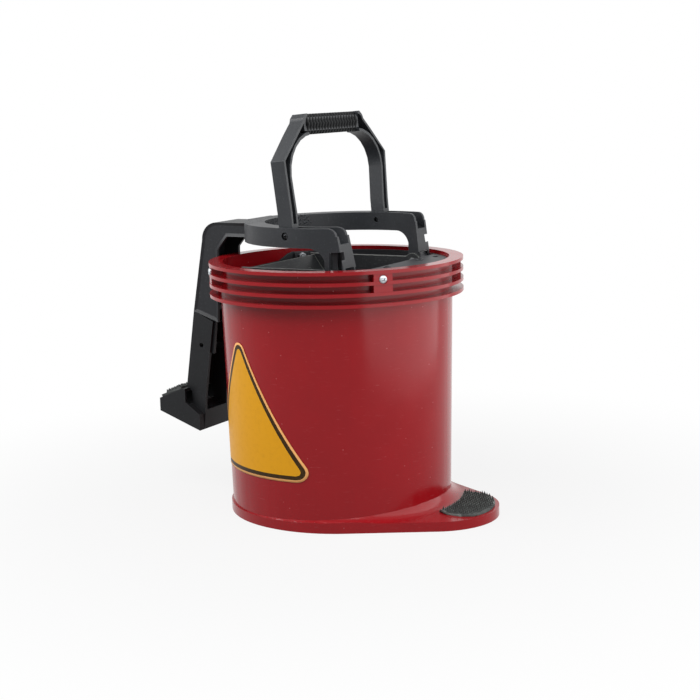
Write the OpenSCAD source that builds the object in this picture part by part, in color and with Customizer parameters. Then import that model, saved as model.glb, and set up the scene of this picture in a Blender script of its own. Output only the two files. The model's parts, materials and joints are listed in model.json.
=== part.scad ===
/* [Bucket] */
// Height of the bucket, floor to rim
rim_z = 295; // [270:1:320]
// Outer radius of the wall at the rim
wall_top_r = 136.3; // [132:0.1:140]
// Outer radius of the wall at the floor
wall_foot_r = 130; // [126:0.5:133]
// Thickness of the moulded wall
wall_t = 4; // [3:0.1:4.4]
// Outer radius of the rim and its rings
rib_r = 148.5; // [146:0.5:149]
// Thickness of each ring
rib_t = 3.8; // [3:0.1:5]
// Distance from one ring to the next
rib_pitch = 12; // [11:0.5:13]
// Number of rings, the rim included
rib_count = 4; // [3:1:5]
// Thickness of the foot flange and of the step
flange_t = 11; // [9:0.5:14]
// Distance the foot flange stands proud of the wall
flange_out = 4.5; // [3:0.5:6]
// Thickness of the bucket's floor
floor_t = 4; // [3:0.5:5]
// Clear height under the floor
foot_gap = 4; // [3:0.5:5]

/* [Step] */
// Reach of the step from the bucket's axis
step_reach = 198; // [190:1:204]
// Radius of the step's tip
step_tip_r = 75; // [70:1:80]
// Radius of the fillet between wall and step
step_fillet_r = 16; // [10:1:20]
// Thickness of the studded foot pad
pad_t = 2.5; // [2:0.5:4]
// Border left round the foot pad
pad_border = 5; // [4:0.5:8]
// Length of the foot pad across the step
pad_l = 118; // [100:2:124]
// Height of the pad's studs
stud_h = 3; // [2:0.5:4]
// Distance from one stud to the next
stud_pitch = 11; // [10:0.5:16]

/* [Wringer ring] */
// Height of the ring's top edge below the rim
ring_drop = 4.5; // [3:0.5:8]
// Height of the ring's band
ring_h = 13.5; // [12:0.5:16]
// Thickness of the band
ring_t = 3.2; // [2.8:0.1:3.4]
// Gap between ring and wall
ring_gap = 0.4; // [0.3:0.1:0.8]
// Distance of the shelf's straight edge from the axis
shelf_x = 77; // [75:0.5:84]
// Thickness of the shelf
shelf_t = 4; // [3:0.5:5]

/* [Yoke] */
// Height of the yoke's top face
yoke_top = 340; // [338:0.5:344]
// Depth of the yoke's arms
yoke_h = 21.5; // [20:0.5:22.5]
// Outer radius of the horseshoe
yoke_r = 118; // [116:0.5:118]
// Distance of the horseshoe's centre in front of the axis
yoke_shift = 15; // [14:0.5:16]
// Width across one arm
arm_w = 23.6; // [23.6:0.1:25]
// Thickness of the arm's walls and floor
arm_t = 3.6; // [3:0.1:3.8]
// Distance of the claws' front faces from the axis, at the foot
claw_x = 71.5; // [70:0.5:72]
// Backward slope of the claws' front faces
claw_slope = 0.16; // [0.05:0.01:0.2]

/* [Hinge] */
// Distance of the hinge pins in front of the axis
pin_x = 61.5; // [60:0.5:62]
// Height of the hinge pins
pin_z = 284; // [283:0.5:285]
// Diameter of the hinge pins
pin_d = 8; // [6:0.5:9]
// Radial clearance of the running fits
fit = 0.08; // [0.05:0.01:0.1]
// Side gap between parts that turn against each other
side_gap = 0.4; // [0.3:0.1:0.8]

/* [Rear arm] */
// Width of the rear arm and of the pedal lever
lever_w = 50; // [46:1:54]
// Thickness of their sheet walls
lever_t = 4; // [3:0.5:5]
// Height of the joint between rear arm and pedal lever
joint_z = 220; // [212:1:228]
// Gap between the rear arm and the bucket's rim
rim_clear = 1.5; // [1.5:0.5:4]
// Depth of the rear arm outside the rim
arm_depth = 21.5; // [20:0.5:25]
// Height of the pedal lever's foot
lever_foot_z = 79; // [70:1:90]

/* [Pedal] */
// Width of the pedal
pedal_w = 72; // [66:1:80]
// Reach of the pedal outside its lever
pedal_out = 36.5; // [30:0.5:42]
// Thickness of the studded tread
tread_t = 3; // [2:0.5:4]

/* [Sticker] */
// Height of the sticker's lower edge
sticker_z = 57; // [50:1:70]
// Side of the sticker's triangle
sticker_side = 190; // [170:1:192]
// Radius of the sticker's corners
sticker_round = 12; // [8:1:16]
// Direction the sticker faces, seen from above
sticker_angle = -117; // [-125:0.5:-112]
// Thickness of the sticker
sticker_t = 0.3; // [0.2:0.05:0.5]

/* [Wringer jaws] */
// Diameter of the wringer rollers
roller_d = 30; // [26:1:32]
// Gap between the closed rollers
roller_gap = 2; // [1.5:0.5:4]
// Height of the rollers' axes
roller_z = 214; // [208:1:220]
// Diameter of the rollers' axles
axle_d = 8; // [6:0.5:10]
// Thickness of the jaws' plates
jaw_t = 4; // [3:0.5:4]
// Distance of the moving jaw's top edge behind the axis
jaw_back = 80; // [74:0.5:81]

/* [Carry handle] */
// Distance of the handle's pivots in front of the axis
handle_x = 3.5; // [0:0.5:6]
// Height of the handle's pivots
handle_z = 331; // [330.5:0.5:332]
// Height of the handle's bends above its pivots
leg_h = 82; // [70:1:95]
// Height of the handle's top above its pivots
handle_h = 131.8; // [120:0.2:140]
// Width of the handle's section
leg_w = 17.5; // [16:0.5:19]
// Thickness of the handle's legs
leg_t = 13.5; // [12:0.5:13.5]
// Length of the straight grip between its shoulders
grip_l = 124; // [120:2:130]
// Length of the ribbed part of the grip
rib_zone = 116; // [104:2:118]
// Number of ribs round the grip
grip_ribs = 17; // [11:1:19]
// Backward lean of the handle at rest
handle_lean = 4.5; // [0:0.5:6]
// Diameter of the handle's pivot screws
pivot_d = 6; // [4:0.5:7]

/* [Hidden] */
$fn = 128;
eps = 0.01;
far = 400;
bucket_red = "#8f2b2f";
nylon = "#3d3e42";
nylon_dark = "#2c2d2f";
steel = "#c9ccd0";

// Bucket
inner_floor_z = foot_gap + floor_t;
function claw_front(z) = claw_x - (z - pin_z) * claw_slope;
function wall_r(z) = wall_foot_r + (wall_top_r - wall_foot_r) * z / rim_z;
function inner_r(z) = wall_r(z) - wall_t;
flange_r = wall_foot_r + flange_out;
tip_x = step_reach - step_tip_r;
tangent_a = acos((flange_r - step_tip_r) / tip_x);
step_skin_t = 4;
step_rib_t = 3;
step_rib_pitch = 24;
hub_r = 15;
foot_rib_t = 3;
flare_shift = 8;
flare_back = -60;
step_sink = 0.1;
flare_r = wall_foot_r - flare_shift;

// Screws that hold the wringer ring
screw_angles = [-140, -40, 40, 140];
screw_d = 5;
screw_gap = 0.3;
screw_head_d = 8.6;
screw_head_h = 2.6;
screw_z = rim_z - rib_pitch + 2.2;
boss_w = 22;
boss_sink = 0.6;
boss_x = sqrt(rib_r * rib_r - boss_w * boss_w / 4) - boss_sink;
boss_z = rim_z - 2 * rib_pitch - rib_t;
nut_d = 9;
nut_t = 4;

// Wringer ring
ring_top = rim_z - ring_drop;
ring_z = ring_top - ring_h;
ring_r = inner_r(ring_z) - ring_gap;
nut_boss_w = 18;
nut_boss_t = 5.5;
nut_boss_x = ring_r - ring_t - nut_boss_t;
lug_eye_r = 9;
claw_side = 5.8;
claw_out = sqrt(pow(yoke_r, 2) - pow(claw_x - yoke_shift, 2));
lug_out = claw_out - claw_side;
lug_w = 10;
lug_top = ring_top - 2;
horn_w = 6;
horn_t = 3.2;
lug_root = 14;
nut_pocket = 6;

// Yoke
yoke_bottom = yoke_top - yoke_h;
yoke_floor_top = yoke_bottom + arm_t;
claw_back = pin_x - 10;
claw_r = 10;
eye_sink = 0.6;
arch_r = 20;
corner_r = 9;
window_z = pin_z + claw_r;
window_h = 20;
window_edge = 3.4;
claw_plate_z = window_z + 2;
lobe_in = lug_out - lug_w - side_gap;
lobe_out = lug_out + side_gap;
cheek_w = 8.2;
cheek_out = lobe_in - cheek_w;
seat_out = 1.5;
seat_x = yoke_shift - yoke_r - seat_out;
seat_block = 14;

// Handle
pivot_side = sqrt(pow(yoke_r, 2) - pow(handle_x - yoke_shift, 2));
pivot_seat = pivot_side - arm_t;
leg_out = pivot_seat - side_gap;
leg_in = leg_out - leg_t;
lobe_r = handle_z - yoke_floor_top - 0.5;
pocket_back = handle_x - leg_w / 2 / cos(handle_lean) - (yoke_top - handle_z) * tan(handle_lean) - side_gap;
pocket_front = handle_x + 30;
taper_h = 8;
straight_h = 25;
leg_flare = 4;
grip_h = 23.4;
shoulder_h = 22;
shoulder_l = 24;
bend_h = 44;
bend_l = 10;
end_l = 8;
end_h = 9;
wall_leg = 3.5;
leg_recess = 11;
grip_core_w = 11;
grip_core_h = 15;
grip_gap = 0.2;
rib_w = 4;
rib_out = 1.4;
pivot_head_d = 8.4;
pivot_head_h = 2.6;

// Rear arm and pedal lever
arm_in_x = -(rib_r + rim_clear);
arm_out_x = arm_in_x - arm_depth;
arm_corner_r = 21;
arm_lean = 0.178;
arch_in_r = 14;
arm_drop = 5;
arm_top = yoke_top - arm_drop;
joint_drop = 12;
screw_arm_y = 13;
screw_arm_d = 5;
bolt_d = 6;
lever_lean = 0.152;
foot_wall_h = 42;
toe_back_h = 20;
toe_front_h = 34;
lever_floor_h = 24;
joint_out_x = arm_out_x - (arm_top - arm_corner_r - joint_z) * arm_lean;
joint_in_x = arm_in_x - 3;
lever_step = 8;
lever_in_x = joint_in_x - lever_step;
foot_out_run = 15;
foot_in_run = 26;
foot_out_x = joint_out_x - foot_out_run;
foot_in_x = joint_in_x - foot_in_run;
pedal_h = 54;
pedal_top_z = lever_foot_z + pedal_h;
pedal_fall = 14;
pedal_tip_z = pedal_top_z - pedal_fall;
pedal_tip_h = 19;
pedal_tip_x = foot_out_x + 2 - pedal_out;
tongue_h = 46;
tongue_z = joint_z - tongue_h;
tongue_w = lever_w - 2 * lever_t - 2 * side_gap;
bolt_depth = 9;
bolt_drop = 36;
bolt_x = joint_out_x + bolt_depth;
bolt_z = joint_z - bolt_drop;
tread_border = 2.5;

// Jaws
roller_r = roller_d / 2;
roller_x = roller_gap / 2 + roller_r;
jaw_out = cheek_out;
jaw_in = jaw_out - jaw_t;
jaw_side = 1.9;
fixed_out = jaw_in - jaw_side;
fixed_in = fixed_out - jaw_t;
bearing_r = 9;
flange_inset = 4.3;
flange_x = shelf_x + flange_inset;
plate_sink = 2.5;
plate_foot_x = roller_x + roller_r + 2;
plate_foot_z = roller_z + roller_r - 3;
flange_l = 18;
shelf_bottom = ring_top - shelf_t;
roller_side = 0.8;
jaw_top = ring_top - 0.5;
jaw_screw_y = 40;
jaw_screw_d = 4.6;
jaw_screw_x = shelf_x + flange_l / 2 + 3;
drain_d = 7;
drain_rows = 16;
drain_pitch = 24;
pin_inset = 0.8;
pin_end = claw_out - pin_inset;
pivot_grip = 2.5;
pivot_in = leg_in - side_gap - pivot_grip;
arm_screw_z = yoke_bottom + 7.5;
bolt_inset = 0.6;
bolt_end = lever_w / 2 - bolt_inset;
toe_rib_t = 3.5;
tread_pitch = 9.5;

module step_plan(inset = 0) {
  base = flange_r - inset;
  tip = step_tip_r - inset;
  circle(r = base);
  translate([tip_x, 0]) circle(r = tip);
  polygon([for (k = [[base, 0, 1], [tip, tip_x, 1], [tip, tip_x, -1], [base, 0, -1]])
    [k[1] + (k[0] - step_sink) * cos(tangent_a), k[2] * (k[0] - step_sink) * sin(tangent_a)]]);
}

// Concave flare that runs out of the wall on the step's side only.
module step_flare() {
  intersection() {
    translate([flare_shift, 0, flange_t - eps]) rotate_extrude() difference() {
      translate([flare_r - 6, 0]) square([6 + step_fillet_r, step_fillet_r]);
      translate([flare_r + step_fillet_r, step_fillet_r]) circle(r = step_fillet_r);
    }
    linear_extrude(far) intersection() {
      step_plan();
      translate([flare_back, -far]) square(2 * far);
    }
  }
}

// Hollow and ribs under the step.
module step_underside() {
  difference() {
    linear_extrude(flange_t - step_skin_t) difference() {
      step_plan(wall_t);
      circle(r = wall_foot_r);
    }
    for (y = [-2 : 2])
      translate([0, y * step_rib_pitch - step_rib_t / 2, 0]) cube([far, step_rib_t, flange_t]);
  }
}

// Recess under the floor, around a hub and its ribs.
module foot_hollow() {
  difference() {
    cylinder(r = inner_r(0), h = foot_gap + 1);
    cylinder(r = hub_r, h = far);
    for (a = [0 : 60 : 300]) rotate(a)
      translate([0, -foot_rib_t / 2, 0]) cube([far, foot_rib_t, far]);
  }
}

module radial_hole(d, x0, x1, z) {
  translate([x0, 0, z]) rotate([0, 90, 0]) cylinder(d = d, h = x1 - x0);
}

module bucket() {
  color(bucket_red) difference() {
    union() {
      cylinder(r1 = wall_foot_r, r2 = wall_top_r, h = rim_z);
      for (i = [0 : rib_count - 1])
        translate([0, 0, rim_z - rib_t - i * rib_pitch]) cylinder(r = rib_r, h = rib_t);
      linear_extrude(flange_t) step_plan();
      step_flare();
      for (a = screw_angles) rotate(a)
        translate([wall_top_r - wall_t, -boss_w / 2, boss_z])
          cube([boss_x - wall_top_r + wall_t, boss_w, rim_z - boss_z]);
    }
    translate([0, 0, inner_floor_z])
      cylinder(r1 = inner_r(inner_floor_z), r2 = inner_r(rim_z + 1), h = rim_z + 1 - inner_floor_z);
    translate([0, 0, -1]) foot_hollow();
    translate([0, 0, -eps]) step_underside();
    for (a = screw_angles) rotate(a) {
      radial_hole(screw_d + 2 * screw_gap, inner_r(0), boss_x + 1, screw_z);
      radial_hole(screw_head_d + 2, boss_x, far, screw_z);
    }
  }
}

// Crescent between the wall's flare and the edge of the step.
module pad_plan() {
  difference() {
    step_plan(pad_border);
    translate([flare_shift, 0]) circle(r = flare_r + step_fillet_r);
    for (m = [0, 1]) mirror([0, m]) translate([-far, pad_l / 2]) square([2 * far, far]);
  }
}

module stud() {
  cylinder(r1 = 2.2, r2 = 0.8, h = stud_h, $fn = 24);
}

function inside_pad(x, y) =
  norm([x - tip_x, y]) < step_tip_r - pad_border - 3
  && norm([x - flare_shift, y]) > flare_r + step_fillet_r + 3
  && abs(y) < pad_l / 2 - 3
  && x > 0;

module step_pad() {
  color(nylon_dark) translate([0, 0, flange_t]) {
    linear_extrude(pad_t) pad_plan();
    for (i = [0 : 16], j = [-8 : 8]) {
      x = tip_x - step_tip_r / 2 + i * stud_pitch * 0.87;
      y = (j + (i % 2) / 2) * stud_pitch;
      if (inside_pad(x, y)) translate([x, y, pad_t - eps]) stud();
    }
  }
}

// Triangle with rounded corners, standing on its lower side.
module rounded_triangle(side, r) {
  h = side * sqrt(3) / 2;
  corners = [[side / 2 - r * sqrt(3), r], [0, h - 2 * r], [-side / 2 + r * sqrt(3), r]];
  polygon([for (k = [0 : 2], a = [-90 : 15 : 30]) corners[k] + r * [cos(a + 120 * k), sin(a + 120 * k)]]);
}

module side_sticker() {
  skin = 0.3;
  color("#d6a02b") intersection() {
    difference() {
      cylinder(r1 = wall_foot_r + skin + sticker_t, r2 = wall_top_r + skin + sticker_t, h = rim_z);
      translate([0, 0, -eps])
        cylinder(r1 = wall_foot_r + skin, r2 = wall_top_r + skin, h = rim_z + 2 * eps);
    }
    rotate(sticker_angle) translate([0, 0, sticker_z]) rotate([90, 0, 90])
      linear_extrude(far) rounded_triangle(sticker_side, sticker_round);
  }
}

// A profile drawn in X and Z, made w wide about the middle of Y.
module along_y(w, y = 0) {
  translate([0, y + w / 2, 0]) rotate([90, 0, 0]) linear_extrude(w) children();
}

// The same profile from y0 to y1 on both sides of the middle.
module both_sides(y0, y1) {
  for (s = [-1, 1]) along_y(y1 - y0, s * (y0 + y1) / 2) children();
}

module rod_y(d, y0, y1, x, z) {
  translate([x, y1, z]) rotate([90, 0, 0]) cylinder(d = d, h = y1 - y0);
}

// Lug with the eye of the hinge pin, and the horn that the yoke's floor rests on.
module lug_profile() {
  translate([pin_x, pin_z]) circle(r = lug_eye_r);
  translate([pin_x, ring_z]) square([shelf_x + lug_root - pin_x, lug_top - ring_z]);
}

module horn_profile() {
  translate([pin_x - lug_eye_r, pin_z]) square([horn_w, yoke_bottom - side_gap - pin_z]);
}

module wringer_ring() {
  color(nylon_dark) difference() {
    union() {
      translate([0, 0, ring_z]) difference() {
        cylinder(r = ring_r, h = ring_h);
        translate([0, 0, -1]) cylinder(r = ring_r - ring_t, h = ring_h + 2);
      }
      translate([0, 0, ring_top - shelf_t]) intersection() {
        cylinder(r = ring_r - 1, h = shelf_t);
        translate([shelf_x, -far, 0]) cube([far, 2 * far, shelf_t]);
      }
      intersection() {
        cylinder(r = ring_r - 1.5, h = ring_top - 0.5);
        for (a = screw_angles) rotate(a) translate([nut_boss_x, -nut_boss_w / 2, ring_z + 0.5])
          cube([ring_r - nut_boss_x, nut_boss_w, ring_h - 1]);
      }
      intersection() {
        cylinder(r = ring_r - 2, h = far);
        both_sides(lug_out - lug_w, lug_out) lug_profile();
      }
      both_sides(lug_out - horn_t, lug_out) horn_profile();
    }
    for (a = [screw_angles[1], screw_angles[2]]) rotate(a) translate([nut_boss_x - nut_pocket, -nut_pocket, 0])
      cube([nut_pocket, 2 * nut_pocket, far]);
    for (a = screw_angles) rotate(a)
      radial_hole(screw_d + 2 * screw_gap, nut_boss_x - 1, ring_r + 1, screw_z);
    rod_y(pin_d + 2 * fit, -far, far, pin_x, pin_z);
    for (s = [-1, 1]) translate([jaw_screw_x, s * jaw_screw_y, 0])
      cylinder(d = jaw_screw_d + 2 * screw_gap, h = far);
  }
}

module ring_screws() {
  color(steel) for (a = screw_angles) rotate(a) {
    radial_hole(screw_d, nut_boss_x - nut_t - 1, boss_x, screw_z);
    radial_hole(screw_head_d, boss_x, boss_x + screw_head_h, screw_z);
  }
}

module ring_nuts() {
  color(steel) for (a = screw_angles) rotate(a) difference() {
    translate([nut_boss_x - nut_t, 0, screw_z]) rotate([0, 90, 0]) cylinder(d = nut_d, h = nut_t, $fn = 6);
    radial_hole(screw_d + 2 * fit, 0, far, screw_z);
  }
}

// Yoke
module ring_plan(outer, inner) {
  translate([yoke_shift, 0]) difference() {
    circle(r = yoke_r - outer);
    circle(r = yoke_r - inner);
  }
}

// Side view of the yoke: straight arms that arch down into the claws.
module yoke_side() {
  difference() {
    union() {
      translate([-far, yoke_bottom]) square([far + claw_back, yoke_h]);
      polygon([
        [claw_back - 1, pin_z],
        [claw_x, pin_z],
        [claw_front(yoke_top), yoke_top],
        [claw_back - 1, yoke_top]]);
      translate([pin_x, pin_z]) circle(r = claw_r);
      translate([claw_back - arch_r, yoke_bottom - arch_r]) difference() {
        square([arch_r + eps, arch_r + eps]);
        circle(r = arch_r);
      }
    }
    translate([claw_front(yoke_top) - corner_r, yoke_top - corner_r]) difference() {
      square(2 * corner_r);
      circle(r = corner_r);
    }
  }
}

module front_of(x, z0, z1) {
  translate([x, -far, z0]) cube([far, 2 * far, z1 - z0]);
}

// What is hollow inside the arms and claws.
module arm_hollow() {
  // open pocket above the floor, from the handle's stop to the claws
  intersection() {
    translate([0, 0, yoke_floor_top]) linear_extrude(yoke_h) ring_hollow();
    front_of(pocket_back, yoke_floor_top, yoke_top + 1);
  }
  both_sides(leg_in - side_gap, leg_out + side_gap)
    translate([pocket_back, yoke_floor_top]) square([pocket_front - pocket_back, yoke_h]);
  // slot for the ring's lug under the floor of the claws
  intersection() {
    linear_extrude(yoke_bottom) ring_hollow();
    difference() {
      front_of(claw_back - arch_r, 0, yoke_bottom);
      along_y(2 * far) claw_plate();
      both_sides(cheek_out, lobe_in) claw_eye();
      both_sides(lobe_out, yoke_r) claw_eye();
    }
  }
  // closed back of the bend, hollow from below
  intersection() {
    translate([0, 0, yoke_bottom - 1]) linear_extrude(yoke_h - arm_t + 1) ring_hollow();
    difference() {
      translate([pocket_back - arm_t - far, -far, 0]) cube([far, 2 * far, far]);
      translate([-far, -lever_w / 2 - 2, 0]) cube([far, lever_w + 4, far]);
    }
  }
}

// Front plate that closes each claw above its eye.
module claw_plate() {
  polygon([
    [claw_front(claw_plate_z) - arm_t, claw_plate_z],
    [far, claw_plate_z],
    [far, yoke_top],
    [claw_front(yoke_top) - arm_t, yoke_top]]);
}

module claw_eye() {
  translate([pin_x, pin_z]) circle(r = claw_r - eye_sink);
}

module ring_hollow() {
  ring_plan(arm_t, arm_w - arm_t);
}

module yoke() {
  color(nylon) difference() {
    union() {
      intersection() {
        linear_extrude(far) ring_plan(0, arm_w);
        along_y(2 * far) yoke_side();
      }
      both_sides(cheek_out, lobe_in) claw_eye();
      translate([seat_x, -lever_w / 2, yoke_bottom]) cube([seat_block, lever_w, yoke_h]);
    }
    arm_hollow();
    both_sides(lobe_in, lobe_out) claw_eye_gap();
    translate([0, -cheek_out, 0]) cube([far, 2 * cheek_out, window_z + 1]);
    both_sides(lobe_out - eps, far) claw_window();
    rod_y(pin_d + 2 * fit, -pin_end, pin_end, pin_x, pin_z);
    rod_y(pivot_d + 2 * fit, -far, far, handle_x, handle_z);
    for (s = [-1, 1])
      rod_y(pivot_head_d + 2 * screw_gap, min(s * pivot_seat, s * far), max(s * pivot_seat, s * far),
        handle_x, handle_z);
    for (s = [-1, 1]) translate([seat_x - 1, s * screw_arm_y, arm_screw_z]) rotate([0, 90, 0])
      cylinder(d = screw_arm_d + 2 * fit, h = seat_block - 2);
  }
}

module claw_eye_gap() {
  translate([pin_x - claw_r - 1, pin_z - claw_r - 1]) square([2 * claw_r + 2, claw_r + 1 + claw_r]);
}

module claw_window() {
  translate([claw_back + window_edge, window_z])
    square([claw_x - claw_back - 2 * window_edge, window_h]);
}

// Rear arm
module rear_profile(t = 0) {
  polygon([
    [seat_x - t, arm_top - t],
    [arm_out_x + arm_corner_r, arm_top - t],
    [arm_out_x + t, arm_top - arm_corner_r],
    [joint_out_x + t, joint_z + joint_drop / 2],
    [joint_in_x, joint_z - joint_drop / 2],
    [arm_in_x, rim_z + arch_in_r / 2],
    [arm_in_x + arch_in_r, yoke_bottom],
    [seat_x - t, yoke_bottom]]);
  translate([arm_out_x + arm_corner_r, arm_top - arm_corner_r]) intersection() {
    circle(r = arm_corner_r - t);
    translate([-arm_corner_r, 0]) square(arm_corner_r);
  }
  translate([arm_in_x, yoke_bottom - arch_in_r]) difference() {
    square([arch_in_r, arch_in_r + eps]);
    translate([arch_in_r, 0]) circle(r = arch_in_r);
  }
}

module rear_hollow() {
  intersection() {
    rear_profile(lever_t);
    translate([-far, 0]) square([far + seat_x - lever_t, far]);
  }
}

module tongue_profile() {
  polygon([
    [joint_out_x + lever_t + side_gap, joint_z + joint_drop / 2 + 8],
    [joint_in_x - 4, joint_z + joint_drop / 2 + 8],
    [joint_in_x - 4 - (joint_z - tongue_z) * lever_lean, tongue_z],
    [joint_out_x + lever_t + 2 * side_gap - (joint_z + joint_drop / 2 - tongue_z) * lever_lean, tongue_z],
    [joint_out_x + lever_t + side_gap, joint_z + joint_drop / 2]]);
}

// Thick root that ties the tongue to the arm's cheeks.
module tongue_root() {
  intersection() {
    tongue_profile();
    translate([-far, joint_z + joint_drop / 2 + eps]) square([2 * far, far]);
  }
}

module tongue_hollow() {
  intersection() {
    translate([lever_t, 0]) tongue_profile();
    translate([-far, 0]) square([2 * far, joint_z + joint_drop / 2 + 2]);
  }
}

module rear_arm() {
  color(nylon) difference() {
    union() {
      difference() {
        along_y(lever_w) rear_profile();
        along_y(lever_w - 2 * lever_t) rear_hollow();
      }
      along_y(lever_w - 2 * lever_t) tongue_root();
      along_y(tongue_w) tongue_profile();
    }
    along_y(tongue_w - 2 * lever_t) tongue_hollow();
    for (s = [-1, 1]) translate([seat_x - lever_t - 1, s * screw_arm_y, arm_screw_z]) rotate([0, 90, 0])
      cylinder(d = screw_arm_d + 2 * screw_gap, h = lever_t + 2);
    rod_y(bolt_d + 2 * fit, -far, far, bolt_x, bolt_z);
  }
}

module arm_screws() {
  color(steel) for (s = [-1, 1]) translate([0, s * screw_arm_y, arm_screw_z]) {
    radial_hole(screw_arm_d, seat_x - lever_t, seat_x + seat_block - 4, 0);
    radial_hole(screw_arm_d + 3.6, seat_x - lever_t - 2.4, seat_x - lever_t, 0);
  }
}

// Pedal lever
module lever_profile(t = 0) {
  polygon([
    [joint_out_x + t, joint_z + joint_drop / 2],
    [foot_out_x + t, pedal_top_z],
    [foot_out_x + t, lever_foot_z + 8],
    [foot_in_x, lever_foot_z],
    [foot_in_x + 3, lever_foot_z + foot_wall_h],
    [lever_in_x, joint_z - joint_drop / 2]]);
}

module toe_profile(t = 0) {
  polygon([
    [foot_out_x + lever_t + t, pedal_top_z - tread_t - t],
    [foot_out_x, pedal_top_z - tread_t - t],
    [pedal_tip_x + t, pedal_tip_z - tread_t - t],
    [pedal_tip_x + t, pedal_tip_z - pedal_tip_h - 2 * t],
    [foot_in_x - t, lever_foot_z - 2 * t],
    [foot_in_x - t, lever_foot_z + toe_back_h - t],
    [foot_out_x + lever_t + t, lever_foot_z + toe_front_h - t]]);
}

module pedal_lever() {
  color(nylon_dark) difference() {
    union() {
      difference() {
        along_y(lever_w) lever_profile();
        along_y(lever_w - 2 * lever_t) intersection() {
          lever_profile(lever_t);
          translate([-far, lever_foot_z + lever_floor_h]) square([2 * far, far]);
        }
      }
      along_y(pedal_w) toe_profile();
    }
    for (y = [-1 : 1])
      translate([0, y * (pedal_w - toe_rib_t) / 3, 0])
        along_y((pedal_w - toe_rib_t) / 3 - toe_rib_t) toe_profile(lever_t - 0.5);
    rod_y(bolt_d + 2 * fit, -far, far, bolt_x, bolt_z);
  }
}

module lever_bolt() {
  color("#55585c") rod_y(bolt_d, -bolt_end, bolt_end, bolt_x, bolt_z);
}

// Studded tread seated on the pedal's sloping top.
module pedal_tread() {
  slope = atan((pedal_top_z - pedal_tip_z) / (foot_out_x - pedal_tip_x));
  run = (foot_out_x - pedal_tip_x) / cos(slope);
  color(nylon_dark) translate([foot_out_x, 0, pedal_top_z - tread_t]) rotate([0, -slope, 0]) {
    translate([-run + tread_border, -pedal_w / 2 + tread_border, 0])
      cube([run - 2 * tread_border, pedal_w - 2 * tread_border, tread_t]);
    for (i = [0 : floor((run - 10) / tread_pitch)], j = [-3 : 3])
      translate([-run + 6 + i * tread_pitch, j * tread_pitch, tread_t - eps]) stud();
  }
}

// Hinge pins
module hinge_pin_near() {
  color(steel) rod_y(pin_d, -pin_end, -jaw_in - 0.5, pin_x, pin_z);
}

module hinge_pin_far() {
  color(steel) rod_y(pin_d, jaw_in + 0.5, pin_end, pin_x, pin_z);
}

// Fixed jaw: a drained guide plate between two cheeks that carry its roller.
module plate_strip(x0, z0, x1, z1, t) {
  a = atan2(z1 - z0, x1 - x0);
  translate([x0, z0]) rotate(a) square([norm([x1 - x0, z1 - z0]), t]);
}

module fixed_jaw() {
  color(nylon_dark) difference() {
    union() {
      along_y(2 * fixed_out) {
        translate([flange_x, shelf_bottom - jaw_t]) square([shelf_x + flange_l - flange_x, jaw_t]);
        plate_strip(flange_x + jaw_t, shelf_bottom - jaw_t + plate_sink, plate_foot_x, plate_foot_z, jaw_t);
      }
      both_sides(fixed_in, fixed_out) {
        translate([roller_x, roller_z]) circle(r = bearing_r);
        polygon([
          [flange_x, shelf_bottom],
          [shelf_x + flange_l, shelf_bottom],
          [shelf_x + flange_l, shelf_bottom - 18],
          [roller_x + 5, roller_z - 5],
          [roller_x - 4, roller_z + 5]]);
      }
    }
    rod_y(axle_d + 2 * fit, -far, far, roller_x, roller_z);
    for (s = [-1, 1]) translate([jaw_screw_x, s * jaw_screw_y, 0])
      cylinder(d = jaw_screw_d + 2 * fit, h = far);
    for (i = [-2 : 2], k = [0 : 1]) drain(shelf_x - 12 - k * drain_rows, i * drain_pitch);
  }
}

// Upright drain hole through a sloping guide plate.
module drain(x, y) {
  translate([x, y, roller_z]) cylinder(d = drain_d, h = ring_top - roller_z - shelf_t - jaw_t - 1);
}

module jaw_screws() {
  color(steel) for (s = [-1, 1]) translate([jaw_screw_x, s * jaw_screw_y, 0]) {
    translate([0, 0, shelf_bottom - jaw_t - 2]) cylinder(d = jaw_screw_d, h = jaw_t + shelf_t + 2);
    translate([0, 0, ring_top]) cylinder(d = jaw_screw_d + 4, h = 2.2);
  }
}

module fixed_axle() {
  color(steel) rod_y(axle_d, -fixed_out - 1, fixed_out + 1, roller_x, roller_z);
}

module roller(x, half) {
  difference() {
    rod_y(roller_d, -half, half, x, roller_z);
    rod_y(axle_d + 2 * fit, -far, far, x, roller_z);
  }
}

module fixed_roller() {
  color("#8d9094") roller(roller_x, fixed_in - roller_side);
}

// Moving jaw: hung from the claws, so that it swings with the yoke.
module moving_jaw() {
  color(nylon_dark) difference() {
    union() {
      along_y(2 * jaw_out) plate_strip(-jaw_back + 2, jaw_top - jaw_t, -plate_foot_x - 2, plate_foot_z, jaw_t);
      both_sides(jaw_in, jaw_out) {
        translate([pin_x, pin_z]) circle(r = claw_r);
        translate([-roller_x, roller_z]) circle(r = bearing_r);
        polygon([
          [-jaw_back, jaw_top],
          [pin_x - 2, jaw_top],
          [pin_x + 4, pin_z - 8],
          [-roller_x + 4, roller_z - 6],
          [-roller_x - 5, roller_z - 5]]);
      }
    }
    rod_y(axle_d + 2 * fit, -far, far, -roller_x, roller_z);
    rod_y(pin_d + 2 * fit, -far, far, pin_x, pin_z);
    for (i = [-2 : 2], k = [0 : 1]) drain(-jaw_back + 18 + k * drain_rows, i * drain_pitch);
  }
}

module moving_axle() {
  color(steel) rod_y(axle_d, -jaw_out - 1, jaw_out + 1, -roller_x, roller_z);
}

module moving_roller() {
  color("#8d9094") roller(-roller_x, jaw_in - roller_side);
}

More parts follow.
